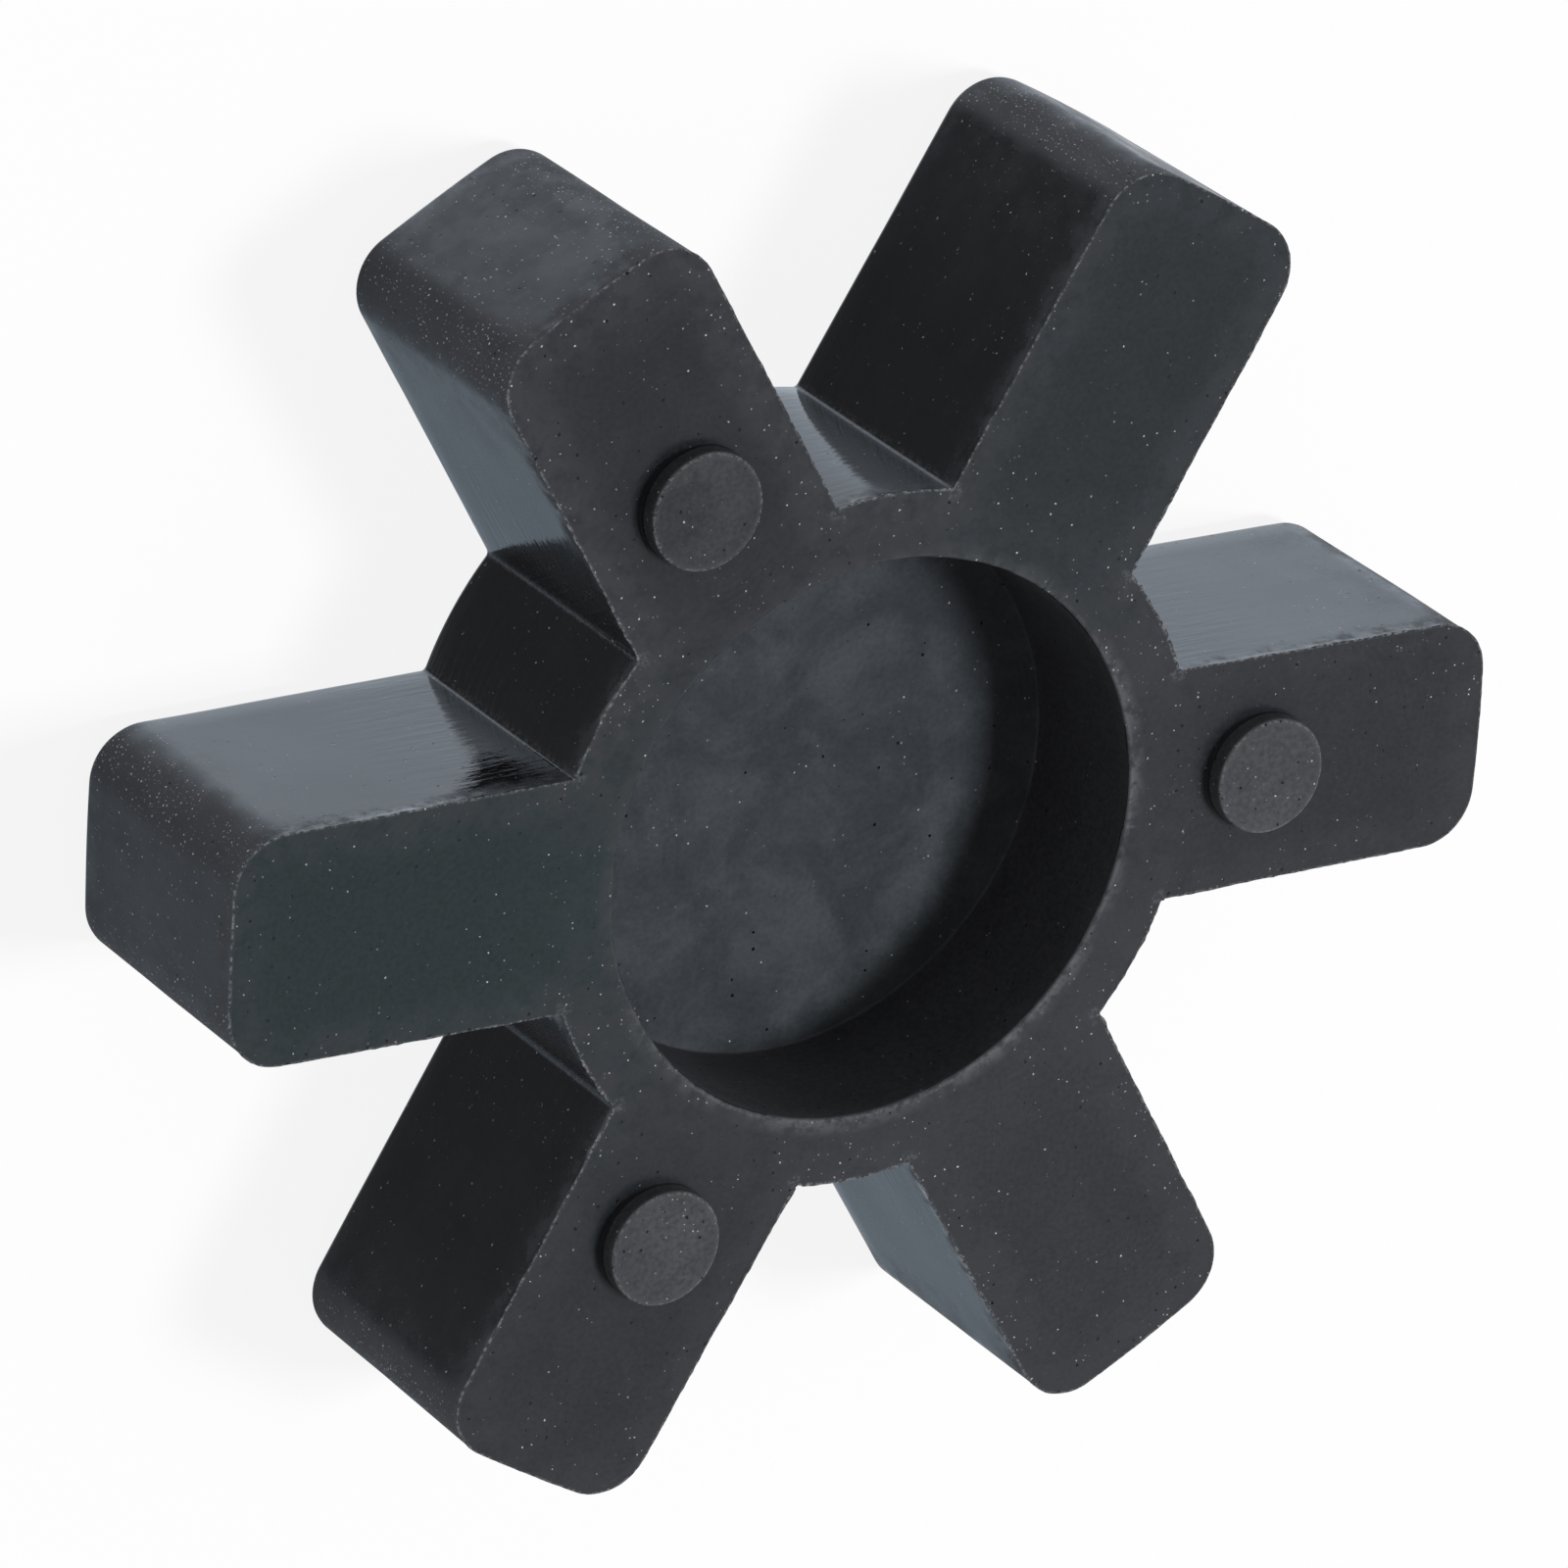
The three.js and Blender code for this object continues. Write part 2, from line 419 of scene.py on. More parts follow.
def edge_rings():
    """The front edge with what is left of the moulding flash."""
    reach = flash()
    lift = FLASH_LIFT * uneven(COLUMNS, COLUMNS // LIFT_COLUMNS)
    rim = FRONT_Z - FACE_FALL
    return [
        ring(FLASH_START, rim + 0.3 * lift),
        ring(FLASH_CREST - 0.5 * reach, rim + lift),
        ring(-reach, rim + lift - FLASH_ROUNDING),
        ring(FLASH_UNDERCUT - reach, rim + lift - FLASH_THICKNESS),
        ring(0.0, rim - FLASH_THICKNESS - FLASH_FOOT),
    ]


def flank_rings():
    top = FRONT_Z - FACE_FALL - FLASH_THICKNESS - FLASH_FOOT
    foot = REAR_Z + REAR_EDGE_RADIUS
    rings = [ring(0.0, top + share * (foot - top)) for share in FLANK_RING_SHARES]
    for angle in quarter_turn(EDGE_STEPS):
        inset = REAR_EDGE_RADIUS * (1 - math.cos(angle))
        rings.append(ring(inset, REAR_Z + REAR_EDGE_RADIUS * (1 - math.sin(angle))))
    return rings


def rear_rings():
    last_inset = ring(FACE_BORDER, REAR_Z)
    first_circle = circle(POCKET_RADIUS, REAR_Z, COLUMNS)
    rings = [ring(REAR_EDGE_INSET, REAR_Z), last_inset]
    rings += between(last_inset, first_circle, REAR_RINGS) + [first_circle]
    return rings + [circle(radius, REAR_Z, POCKET_COLUMNS) for radius in REAR_RING_RADII]


def body():
    rings = pocket_rings() + front_rings() + edge_rings() + flank_rings() + rear_rings()
    points, faces = closed_mesh(rings, (0, 0, POCKET_FLOOR_Z), (0, 0, REAR_Z))
    return mesh_object("spider_body", *undulating(points, faces))


def undulating(points, faces):
    """Small waves, as rubber has when it comes out of its mould."""
    radius = np.linalg.norm(points[:, :2], axis=1)
    height = points[:, 2]
    on_face = height > FRONT_Z - FACE_BAND
    on_floor = (np.abs(height - POCKET_FLOOR_Z) < FLOOR_BAND) & (radius < POCKET_RADIUS)
    points[:, 2] -= np.where(on_face, np.abs(waviness(points, *FACE_WAVES)), 0)
    points[:, 2] += np.where(on_floor, waviness(points, *FLOOR_WAVES), 0)
    between_faces = (height < FRONT_Z - BELOW_FACE) & (height > REAR_Z + ABOVE_REAR)
    on_flank = (radius > HUB_RADIUS - HUB_BAND) & between_faces
    inward = waviness(points, *FLANK_WAVES) + waviness(points, *FLANK_RIPPLES)
    inward = np.where(on_flank, np.clip(inward + FLANK_PULL, 0, None), 0)
    points[:, :2] -= outline_normal_at(points) * inward[:, None]
    return points, faces


def outline_tree():
    tree = KDTree(COLUMNS)
    for i, (x, y) in enumerate(OUTLINE):
        tree.insert((x, y, 0), i)
    tree.balance()
    return tree


TREE = outline_tree()


def nearest_columns(points):
    """Index of the nearest outline column for each point, and its distance in plan."""
    found = [TREE.find((x, y, 0)) for x, y, _ in points]
    return np.array([hit[1] for hit in found]), np.array([hit[2] for hit in found])


def outline_normal_at(points):
    columns, _ = nearest_columns(points)
    return OUTLINE_NORMALS[columns]


# The nubs


def nub_profile():
    """Radii and heights above the face, from the middle of the end face to the sunk foot."""
    crest = [(radius, NUB_HEIGHT) for radius in NUB_END_RADII]
    bend = NUB_RADIUS - NUB_EDGE_RADIUS
    for angle in quarter_turn(EDGE_STEPS):
        radius = bend + NUB_EDGE_RADIUS * math.sin(angle)
        crest.append((radius, NUB_HEIGHT - NUB_EDGE_RADIUS * (1 - math.cos(angle))))
    wall = [(NUB_RADIUS, height) for height in NUB_WALL_HEIGHTS]
    flare = [(NUB_RADIUS + share * NUB_FOOT_FLARE, height) for share, height in NUB_FLARE]
    return crest + wall + flare


def nub(leg):
    """Points and faces of the nub on one leg. Even legs have it in front, odd ones behind."""
    in_front = leg % 2 == 0
    angles = 2 * math.pi * np.arange(NUB_COLUMNS) / NUB_COLUMNS
    swell = sum(reach * (uneven(NUB_COLUMNS, places) - 0.5) for reach, places in NUB_SWELL)
    rings = []
    for radius, height in nub_profile():
        flat = unit(angles) * (radius + swell * (radius > NUB_SWELL_FROM))[:, None]
        dips = radius > NUB_DIP_FROM[0] and height > NUB_DIP_FROM[1]
        dip = NUB_DIP * uneven(NUB_COLUMNS, NUB_DIPS) if dips else 0.0
        rings.append(np.column_stack([flat, np.broadcast_to(height - dip, NUB_COLUMNS)]))
    points, faces = closed_mesh(rings, (0, 0, NUB_HEIGHT), (0, 0, -NUB_FOOT_DEPTH))
    if not in_front:
        points = points * np.array([1, -1, -1])
    place = unit(leg * LEG_PITCH) * NUB_CIRCLE_RADIUS
    points = points + np.array([*place, FRONT_Z if in_front else REAR_Z])
    return points, faces


def nubs():
    all_points = []
    all_faces = []
    for leg in range(LEG_COUNT):
        points, faces = nub(leg)
        first = sum(len(block) for block in all_points)
        all_points.append(points)
        all_faces += [tuple(first + i for i in face) for face in faces]
    return mesh_object("spider_nubs", np.concatenate(all_points), all_faces)


# Joining, zones and values that the materials read


def joined(base, added, name):
    union = base.modifiers.new("union", "BOOLEAN")
    union.operation = "UNION"
    union.object = added
    union.solver = "MANIFOLD"
    settled = base.evaluated_get(bpy.context.evaluated_depsgraph_get())
    mesh = bpy.data.meshes.new_from_object(settled)
    mesh.name = name
    merge_close_points(mesh)
    whole = bpy.data.objects.new(name, mesh)
    bpy.context.scene.collection.objects.link(whole)
    for part in (base, added):
        bpy.data.objects.remove(part)
    return whole


def merge_close_points(mesh):
    work = bmesh.new()
    work.from_mesh(mesh)
    bmesh.ops.remove_doubles(work, verts=work.verts, dist=SAME_POINT * MM)
    work.to_mesh(mesh)
    work.free()


ZONES = ("face", "flank", "wall", "floor", "nub")


def zone_of(centre, normal):
    x, y, z = (value / MM for value in centre)
    radius = math.hypot(x, y)
    if z > FRONT_Z + ABOVE_FACE or z < REAR_Z - BELOW_REAR:
        return ZONES.index("nub")
    if radius < POCKET_RADIUS + ON_WALL and z > POCKET_FLOOR_Z - FLOOR_BAND:
        on_floor = normal.z > FLOOR_SLOPE and z < POCKET_FLOOR_Z + FLOOR_FILLET + FLOOR_BAND
        return ZONES.index("floor" if on_floor else "wall")
    if abs(normal.z) > FLAT_ENOUGH:
        return ZONES.index("face")
    return ZONES.index("flank")


def set_zones(thing, materials):
    thing.data.materials.clear()
    for zone in ZONES:
        thing.data.materials.append(materials[zone])
    for polygon in thing.data.polygons:
        polygon.material_index = zone_of(polygon.center, polygon.normal)
        polygon.use_smooth = True
    thing.data.set_sharp_from_angle(angle=math.radians(SHARP_ANGLE))


def write_values(mesh, name, values):
    attribute = mesh.attributes.new(name, "FLOAT", "POINT")
    attribute.data.foreach_set("value", np.asarray(values, np.float32))


def set_surface_values(thing):
    """Writes how near each point is to the edges, corners and creases that wear or hold dust."""
    points = np.array([vertex.co for vertex in thing.data.vertices]) / MM
    columns, inset = nearest_columns(points)
    inset = np.clip(inset - BODY_INSET, 0, None)
    below = np.clip(FRONT_Z - points[:, 2], 0, None)
    radius = np.linalg.norm(points[:, :2], axis=1)
    on_face = below < FACE_DEPTH
    on_side = (inset < SIDE_DEPTH) & (below > FACE_EDGE)
    from_front_edge = np.where(inset < EDGE_DEPTH, below, inset + below)
    from_lip = np.hypot(radius - POCKET_RADIUS - LIP_OFFSET, below)
    from_nub_rim = np.hypot(radius_about_nub(points) - NUB_RADIUS + NUB_RIM_OFFSET, below_nub_rim(points))

    # On the front faces this edge band is partly painted sheen, stronger on some legs, besides dust and wear
    edge_dust_and_sheen = np.where(on_face, round_the_legs(LEG_EDGE_DUST_AND_SHEEN, points), 1)
    edge_wear_and_sheen = np.where(on_face, EDGE_WEAR_AND_SHEEN_ON_FACES, EDGE_WEAR_ON_SIDES)
    around = np.arctan2(points[:, 1], points[:, 0])
    notch = HUB_RING_MEAN - HUB_RING_SWING * np.cos(LEG_COUNT * around)
    from_flash = np.hypot(inset, below - FACE_FALL)
    flash_line = np.clip(1 - from_flash / FLASH_LINE, 0, 1)
    rim_line = np.clip(1 - from_nub_rim / NUB_RIM_LINE, 0, 1)
    values = {
        "front_edge_dust_and_sheen": near(from_front_edge, 0, edge_wear_and_sheen) * edge_dust_and_sheen,
        "flash": np.maximum(flash_line, rim_line),
        "lip": near(from_lip, 0, LIP_WEAR),
        # A painted highlight along the pocket's lip, stronger on some sides
        "painted_lip_highlight": near(from_lip, 0, LIP_HIGHLIGHT_WIDTH) * round_the_legs(LIP_PAINTED_HIGHLIGHT, points),
        "turning": np.where(radius < POCKET_RADIUS, radius, radius_about_nub(points)),
        "leg_end": column_share(LEG_END)[columns] * on_side,
        "corner": column_share(CORNER)[columns] * on_side,
        # Where a painted highlight runs down the legs' roots
        "crease_highlight": column_share(CREASE_HIGHLIGHT)[columns] * on_side,
        "hub_ring": near(radius, *HUB_RING) * notch * on_face,
        "root": near(radius, HUB_RADIUS, ROOT_STREAKS) * on_side,
        "leg_dust": round_the_legs(LEG_DUST, points),
        "leg_tint": round_the_legs(LEG_TINT, points),
    }
    for name, share in values.items():
        write_values(thing.data, name, share)
    set_skin(thing.data, points, columns, radius)


def radius_about_nub(points):
    """Distance of each point from the axis of the nub on the nearest leg."""
    legs = np.round(np.arctan2(points[:, 1], points[:, 0]) / LEG_PITCH)
    return np.linalg.norm(points[:, :2] - unit(legs * LEG_PITCH) * NUB_CIRCLE_RADIUS, axis=1)


def below_nub_rim(points):
    return np.minimum(np.abs(points[:, 2]), np.abs(points[:, 2] - FRONT_Z - NUB_HEIGHT))


# Shares along the eight stretches of a leg's outline, as (at the start, in the middle, at the end)
NONE = (0, 0, 0)
ALL = (1, 1, 1)
LEG_END = (NONE, (0, 0, 0.7), (0.7, 1, 1), ALL, (1, 1, 0.7), (0.7, 0, 0), NONE, NONE)
CORNER = (NONE, NONE, (0, 1, 0.2), (0.2, 0, 0.2), (0.2, 1, 0), NONE, NONE, NONE)
# Where the painted highlight runs down the legs' roots
CREASE_HIGHLIGHT = (ALL, NONE, NONE, NONE, NONE, NONE, ALL, NONE)
STRETCH_STEPS = (
    ROOT_STEPS, FLANK_STEPS, CORNER_STEPS, CROWN_STEPS, CORNER_STEPS, FLANK_STEPS, ROOT_STEPS, HUB_STEPS
)


def column_share(shares):
    """One value for each column of the whole outline, from three for each stretch of a leg."""
    leg = []
    for steps, (first, middle, last) in zip(STRETCH_STEPS, shares):
        place = np.arange(steps) / steps
        bend = 0.5 if middle or first == last else SLOPE_FOOT
        leg.append(np.interp(place, (0, bend, 1), (first, middle, last)))
    return np.tile(np.concatenate(leg), LEG_COUNT)


def round_the_legs(leg_values, points):
    """A value for each leg, and smoothly from one to the next round the circle."""
    place = np.arctan2(points[:, 1], points[:, 0]) / LEG_PITCH % LEG_COUNT
    first = np.floor(place).astype(int) % LEG_COUNT
    share = place % 1
    share = share * share * (3 - 2 * share)
    values = np.array(leg_values)
    return values[first] * (1 - share) + values[(first + 1) % LEG_COUNT] * share


def set_skin(mesh, points, columns, radius):
    """Flat coordinates in millimetres: x and y on faces, length round the part and z on walls."""
    run = np.concatenate([[0], np.cumsum(np.linalg.norm(np.diff(OUTLINE, axis=0), axis=1))])
    whole = run[-1] + np.linalg.norm(OUTLINE[0] - OUTLINE[-1])
    angles = np.arctan2(points[:, 1], points[:, 0])
    legs = unit(np.round(angles / LEG_PITCH) * LEG_PITCH) * NUB_CIRCLE_RADIUS
    from_nub = points[:, :2] - legs
    nub_angles = np.arctan2(from_nub[:, 1], from_nub[:, 0])
    lengths = {
        "flank": (run[columns], whole),
        "wall": (angles * POCKET_RADIUS, 2 * math.pi * POCKET_RADIUS),
        "nub": (nub_angles * NUB_RADIUS, 2 * math.pi * NUB_RADIUS),
    }
    skin = mesh.uv_layers.new(name="skin")
    values = np.zeros((len(mesh.loops), 2), np.float32)
    for polygon in mesh.polygons:
        corners = list(polygon.vertices)
        zone = ZONES[polygon.material_index]
        loops = slice(polygon.loop_start, polygon.loop_start + len(corners))
        if zone in ("face", "floor") or abs(polygon.normal.z) > FLAT_ENOUGH:
            values[loops] = points[corners, :2]
            continue
        length, turn = lengths[zone]
        around = length[corners]
        around = around + turn * np.round((around[0] - around) / turn)
        values[loops] = np.column_stack([around + WALL_SKIN_SHIFT, points[corners, 2]])
    skin.data.foreach_set("uv", values.ravel())


# Materials


# Small spots: the smallest as a share of the largest, how sharp their edge is, how many are
# faint and how bright those still are
LEAST_DOT = 0.35
DOT_EDGE = 3.0
FAINT_DOTS = 2.5
LEAST_LEVEL = 0.1


class Graph:
    """A short way to add nodes to one node tree and to join them."""

    def __init__(self, tree):
        self.tree = tree
        tree.nodes.clear()

    def add(self, kind, inputs=(), **settings):
        node = self.tree.nodes.new(kind)
        for name, value in settings.items():
            setattr(node, name, value)
        for name, value in dict(inputs).items():
            self.put(node.inputs[name], value)
        return node

    def put(self, socket, value):
        if isinstance(value, bpy.types.NodeSocket):
            self.tree.links.new(value, socket)
        else:
            socket.default_value = value

    def sum_up(self, operation, first, second=0.0, clamp=False):
        node = self.add("ShaderNodeMath", {0: first, 1: second}, operation=operation, use_clamp=clamp)
        return node.outputs[0]

    def plus(self, first, second):
        return self.sum_up("ADD", first, second)

    def times(self, first, second):
        return self.sum_up("MULTIPLY", first, second)

    def step(self, value, low, high, bottom=0.0, top=1.0):
        """From bottom to top, smoothly, as the value goes from low to high."""
        node = self.add(
            "ShaderNodeMapRange",
            {"Value": value, "From Min": low, "From Max": high, "To Min": bottom, "To Max": top},
            interpolation_type="SMOOTHSTEP",
        )
        return node.outputs["Result"]

    def blend(self, share, first, second):
        node = self.add("ShaderNodeMix", data_type="RGBA")
        self.put(node.inputs[0], share)
        self.put(node.inputs[6], first)
        self.put(node.inputs[7], second)
        return node.outputs[2]

    def value(self, name):
        return self.add("ShaderNodeAttribute", attribute_name=name).outputs["Fac"]

    def stretched(self, vector, scales):
        node = self.add("ShaderNodeVectorMath", {0: vector, 1: scales}, operation="MULTIPLY")
        return node.outputs[0]

    def warped(self, vector, scale, reach):
        """The vector with its lines made ragged, by up to half the reach."""
        shove = self.add("ShaderNodeTexNoise", {"Vector": vector, "Scale": scale, "Detail": 2.0})
        halves = {0: shove.outputs["Color"], 1: (0.5, 0.5, 0.5)}
        middle = self.add("ShaderNodeVectorMath", halves, operation="SUBTRACT")
        shift = self.stretched(middle.outputs[0], (reach, reach, reach))
        return self.add("ShaderNodeVectorMath", {0: vector, 1: shift}, operation="ADD").outputs[0]

    def cloud(self, place, scale, detail=4.0, roughness=0.55, distortion=0.0):
        node = self.add(
            "ShaderNodeTexNoise",
            {
                "Vector": place,
                "Scale": scale,
                "Detail": detail,
                "Roughness": roughness,
                "Distortion": distortion,
            },
        )
        return node.outputs["Fac"]

    def dots(self, skin, scale, radius, share):
        """Small spots, one at most a cell, in a share of the cells, and how bright each one is."""
        cells = self.add(
            "ShaderNodeTexVoronoi",
            {"Vector": skin, "Scale": scale, "Randomness": 0.9},
            voronoi_dimensions="2D",
        )
        draw = self.add("ShaderNodeSeparateColor", {0: cells.outputs["Color"]})
        bar = self.sum_up("SUBTRACT", 1.0, share)
        chosen = self.sum_up("GREATER_THAN", draw.outputs[0], bar)
        size = self.step(draw.outputs[1], 0.0, 1.0, LEAST_DOT * radius * scale, radius * scale)
        inside = self.sum_up("SUBTRACT", self.times(size, chosen), cells.outputs["Distance"])
        spots = self.sum_up("MULTIPLY", inside, DOT_EDGE / (radius * scale), clamp=True)
        level = self.plus(self.sum_up("POWER", draw.outputs[2], FAINT_DOTS), LEAST_LEVEL)
        return spots, level


PALE_DUST = (0.52, 0.52, 0.53, 1)
# Light torn rubber of the flash, also painted as a highlight down the legs' roots
TORN_RUBBER_AND_CREASE_HIGHLIGHT = (0.22, 0.225, 0.235, 1)
# Colour of the painted highlight along the pocket's lip
LIP_HIGHLIGHT_PAINT = (0.13, 0.135, 0.145, 1)
# Dust and wear, and painted sheen along the front faces' edges
WORN_AND_SHEEN = (0.046, 0.0485, 0.054, 1)
DEEP = (0.002, 0.002, 0.002, 1)
TINTED = (0.0075, 0.0215, 0.0225, 1)
TURNING_PITCH = 0.3

# Heights of the rubber's relief in millimetres
GRAIN_HEIGHT = 0.004
SWELL_HEIGHT = 0.006
PIT_DEPTH = 0.04
BIT_HEIGHT = 0.02

# Spots a millimetre and their radius: pits, and specks of two sizes
PITS = (1.2, 0.07)
BITS = (2.2, 0.055)
FINE_SPECKS = (5.2, 0.044)
BIT_CROWD = (0.5, 0.3)  # how many in the open, and at a corner
FINE_CROWD = (1.2, 1.4)
DUST_CROWD = 2.5

# Kinds of cloudy patches: clouds a millimetre, detail and roughness of the cloud, from which to
# which of its values a patch rises, and its levels there
PATCHES = {
    "wear": {"scale": 1.1, "detail": 5, "rough": 0.65, "low": 0.32, "high": 0.68, "bottom": 0.1, "top": 1.15},
    "ends": {"scale": 0.6, "detail": 5, "rough": 0.7, "low": 0.35, "high": 0.62, "bottom": 0.6, "top": 1.25},
    "crowd": {"scale": 0.4, "detail": 4, "rough": 0.6, "low": 0.45, "high": 0.7, "bottom": 0.25, "top": 1.8},
    "spray": {"scale": 0.45, "detail": 3, "rough": 0.6, "low": 0.35, "high": 0.6, "bottom": 0.15},
    "torn": {"scale": 5.0, "detail": 4, "rough": 0.7, "low": 0.44, "high": 0.6, "bottom": 0.0},
    # lip: breaks up the painted highlight along the pocket's lip
    "lip": {"scale": 2.5, "detail": 4, "rough": 0.7, "low": 0.36, "high": 0.6, "bottom": 0.1, "top": 0.9},
    "turned": {"scale": 0.2, "detail": 2, "rough": 0.5, "low": 0.55, "high": 0.65, "bottom": 0.0},
    "dull": {"scale": 0.5, "detail": 5, "rough": 0.6, "low": 0.3, "high": 0.7},
}

# Shares of what can show on a surface, where it doesn't say otherwise
PLAIN_LOOK = {
    "specular": 0.5,
    "tint": 0.0,
    "mottle": 0.7,
    "patch": 0.33,  # patches a millimetre
    "dust": 0.0,
    "edge": 0.0,
    "lip": 0.0,
    "end": 0.0,
    "ring": 0.0,
    "corner": 0.0,
    "grit": 0.45,
    "flash": 0.9,
    "specks": 0.12,
    "spray": 0.0,
    "pits": 0.15,
    "streaks": 0.0,
    "turning": 0.0,
    "grain": 1.0,
}


class Rubber(Graph):
    """Black rubber, with patches between its colours base and pale."""

    def __init__(self, tree, look):
        super().__init__(tree)
        self.look = {**PLAIN_LOOK, **look}
        where = self.add("ShaderNodeTexCoord").outputs["Object"]
        self.place = self.stretched(where, (1 / MM, 1 / MM, 1 / MM))
        self.skin = self.add("ShaderNodeUVMap", uv_map="skin").outputs["UV"]
        self.grains = self.cloud(self.place, 5.0, 3.0, 0.6)
        self.dust_and_sheen = self.dust_and_sheen_share()
        ragged = self.warped(self.skin, 9.0, 0.09)
        self.hollows, _ = self.dots(ragged, *PITS, self.look["pits"])
        self.bits, self.bits_level = self.dots(ragged, *BITS, self.crowd(*BIT_CROWD))
        self.fine, self.fine_level = self.dots(ragged, *FINE_SPECKS, self.crowd(*FINE_CROWD))

    def patches(self, kind, **levels):
        """Cloudy patches of one kind, with the levels that it leaves open."""
        given = {**PATCHES[kind], **levels}
        clouds = self.cloud(self.place, given["scale"], given["detail"], given["rough"])
        return self.step(clouds, given["low"], given["high"], given["bottom"], given["top"])

    def dust_and_sheen_share(self):
        """How dusty and worn each spot is, with painted sheen along the front faces' edges: near edges and
        the hub's ring, in patches, and at ends.
        """
        share = self.part("front_edge_dust_and_sheen", "edge")
        share = self.plus(share, self.part("hub_ring", "ring"))
        share = self.plus(share, self.part("lip", "lip"))
        share = self.plus(self.times(share, self.patches("wear")), self.part("corner", "corner"))
        end = self.times(self.part("leg_end", "end"), self.patches("ends"))
        return self.sum_up("ADD", share, end, clamp=True)

    def crowd(self, plain, sprayed):
        """Share of the cells that hold a speck: more where it is dusty and along the edges with painted
        sheen, and most at corners.
        """
        share = self.plus(self.patches("crowd"), self.times(self.dust_and_sheen, DUST_CROWD))
        share = self.times(share, self.look["specks"] * plain)
        spray = self.times(self.part("corner", "spray"), self.patches("spray", top=sprayed))
        return self.plus(share, spray)

    def body_colour(self):
        look = self.look
        clouds = self.cloud(self.place, look["patch"], 7.0, 0.66, 0.4)
        patches = self.step(clouds, 0.36, 0.68, 0.0, look["mottle"])
        patches = self.sum_up("ADD", patches, self.part("leg_dust", "dust"), clamp=True)
        colour = self.blend(patches, look["base"], look["pale"])
        colour = self.blend(self.part("leg_tint", "tint"), colour, TINTED)
        return self.blend(self.step(self.grains, 0.3, 0.75, 0.0, look["grit"]), colour, DEEP)

    def torn_and_crease_highlight_share(self):
        """The broken light line: torn flash along the front edge and the nubs' rims, and a painted highlight
        along the legs' roots.
        """
        broken = self.patches("torn", top=self.look["flash"])
        # The legs' roots get a painted highlight, a quarter as strong
        line = self.sum_up("MAXIMUM", self.value("flash"), self.times(self.value("crease_highlight"), 0.25))
        return self.times(line, broken)

    # Share of the painted highlight along the pocket's lip, in patches
    def painted_lip_highlight_share(self):
        return self.times(self.value("painted_lip_highlight"), self.patches("lip"))

    def colour(self):
        # Dust and wear, with painted sheen along the front faces' edges
        colour = self.blend(self.dust_and_sheen, self.body_colour(), WORN_AND_SHEEN)
        # Painted highlight along the pocket's lip
        colour = self.blend(self.painted_lip_highlight_share(), colour, LIP_HIGHLIGHT_PAINT)
        # Torn flash, and a painted highlight down the legs' roots
        colour = self.blend(self.torn_and_crease_highlight_share(), colour, TORN_RUBBER_AND_CREASE_HIGHLIGHT)
        # Pits painted darker: painted shade in them
        colour = self.blend(self.hollows, colour, DEEP)
        colour = self.blend(self.times(self.fine, self.fine_level), colour, PALE_DUST)
        return self.blend(self.times(self.bits, self.bits_level), colour, PALE_DUST)

    def streaks(self):
        """Drawn along the legs, strongest near the hub."""
        lines = self.cloud(self.stretched(self.skin, (0.35, 2.6, 1.0)), 1.0, 3.0, 0.6)
        deepest = self.look["streaks"]
        return self.times(lines, self.step(self.value("root"), 0.0, 1.0, 0.15 * deepest, deepest))

    def turning_marks(self):
        """Marks of the tool that cut the mould, round the nubs and the pocket's middle."""
        turns = self.times(self.value("turning"), 2 * math.pi / TURNING_PITCH)
        depth = self.patches("turned", top=self.look["turning"])
        return self.times(self.sum_up("SINE", turns), depth)

    def relief(self):
        grain = self.look["grain"]
        height = self.times(self.grains, GRAIN_HEIGHT * grain)
        height = self.plus(height, self.times(self.cloud(self.place, 1.2, 3.0), SWELL_HEIGHT * grain))
        if self.look["streaks"]:
            height = self.plus(height, self.streaks())
        if self.look["turning"]:
            height = self.plus(height, self.turning_marks())
        height = self.plus(height, self.times(self.hollows, -PIT_DEPTH))
        height = self.plus(height, self.times(self.bits, BIT_HEIGHT))
        bump = self.add("ShaderNodeBump", {"Height": height, "Distance": MM, "Strength": 1.0})
        return bump.outputs["Normal"]

    def roughness(self):
        rough = self.look["roughness"]
        share = self.patches("dull", bottom=rough - 0.04, top=rough + 0.04)
        share = self.plus(share, self.times(self.dust_and_sheen, 0.75))
        return self.sum_up("ADD", share, self.times(self.bits, 0.4), clamp=True)

    def part(self, name, share):
        return self.times(self.value(name), self.look[share])

    def finish(self):
        surface = self.add(
            "ShaderNodeBsdfPrincipled",
            {
                "Base Color": self.colour(),
                "Roughness": self.roughness(),
                "IOR": 1.5,
                "Specular IOR Level": self.look["specular"],
                "Normal": self.relief(),
            },
        )
        output = self.add("ShaderNodeOutputMaterial")
        self.put(output.inputs["Surface"], surface.outputs[0])


def rubber(name, **look):
    material = bpy.data.materials.new(name)
    material.use_nodes = True
    Rubber(material.node_tree, look).finish()
    return material


def face_rubber():
    return rubber(
        "rubber_face",
        base=(0.0105, 0.0112, 0.0145, 1),
        pale=(0.0245, 0.0255, 0.0295, 1),
        roughness=0.3,
        tint=0.85,
        mottle=0.45,
        dust=0.6,
        # edge: dust and painted sheen along the front edges
        edge=0.95,
        lip=0.4,
        ring=0.55,
        pits=0.22,
        specks=0.045,
        turning=0.0025,
    )


